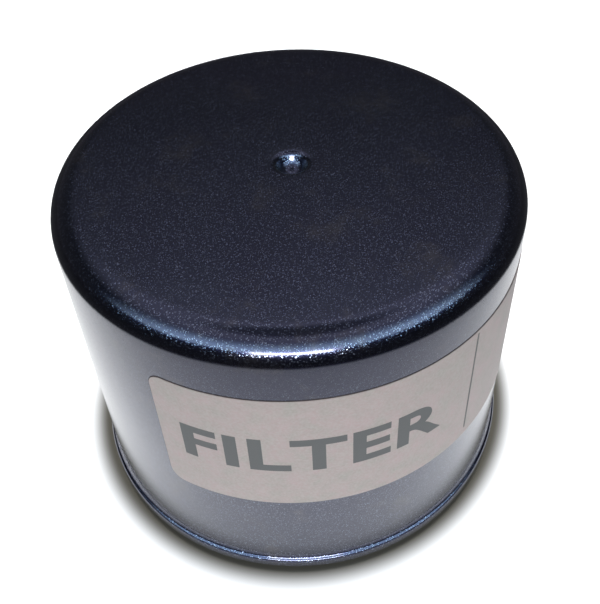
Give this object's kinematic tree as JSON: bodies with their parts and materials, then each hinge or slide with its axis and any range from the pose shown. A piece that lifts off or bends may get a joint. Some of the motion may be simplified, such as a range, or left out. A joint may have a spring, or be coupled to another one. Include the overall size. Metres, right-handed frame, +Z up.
{
  "type": "spin-on oil filter",
  "caption": "Squat spin-on oil filter: drawn steel can with a dimpled flat dome and rolled seam, threaded base plate, rubber gasket, pleated element and sprung bypass valve.",
  "frame": {"origin": "centre of the base gasket's sealing face, on the filter's axis", "axes": "+Z up along the filter's axis towards the dome; the label's left edge is 125 degrees clockwise from +X seen from above, and the view in the picture looks along +Y"},
  "size_m": [0.0776, 0.0776, 0.0605],
  "materials": {
    "can_paint": "midnight blue metallic stoving paint, glossy, with fine flakes",
    "label_film": "silver metallised film, satin",
    "tinned_sheet": "electro-tinned sheet, dull bright",
    "seam_compound": "matte",
    "plate_steel": "stamped and tapped, zinc plated",
    "gasket_rubber": "moulded nitrile, satin",
    "valve_silicone": "moulded silicone, satin",
    "cap_steel": "pressed tinplate",
    "plastisol": "cured plastisol adhesive",
    "filter_paper": "resin-cured cellulose filter paper",
    "cage_steel": "pressed steel",
    "spring_steel": "drawn spring wire"
  },
  "bodies": {
    "housing": {"canister": "can_paint", "label": "label_film", "seaming_lid": "tinned_sheet", "seam_sealant": "seam_compound", "base_plate": "plate_steel", "base_gasket": "gasket_rubber", "anti_drainback_valve": "valve_silicone", "support_spring": "spring_steel"},
    "element": {"lower_end_cap": "cap_steel", "lower_bond": "plastisol", "centre_tube": "cap_steel", "pleated_media": "filter_paper", "media_clip": "cap_steel", "upper_bond": "plastisol", "upper_end_cap": "cap_steel", "bypass_cage": "cage_steel", "bypass_spring": "spring_steel"},
    "bypass_valve": {"bypass_disc": "cage_steel", "bypass_seal": "gasket_rubber", "bypass_stem": "cage_steel"}
  },
  "joints": [
    {"name": "element_float", "type": "slide", "parent": "housing", "child": "element", "axis": [0, 0, 1], "range_m": [0, 0.007], "stiffness_N_per_m": 3000, "springref_m": -0.01, "deforming": ["support_spring"]},
    {"name": "bypass_lift", "type": "slide", "parent": "element", "child": "bypass_valve", "axis": [0, 0, -1], "range_m": [0, 0.003], "stiffness_N_per_m": 1100, "springref_m": -0.005, "deforming": ["bypass_spring"]}
  ]
}
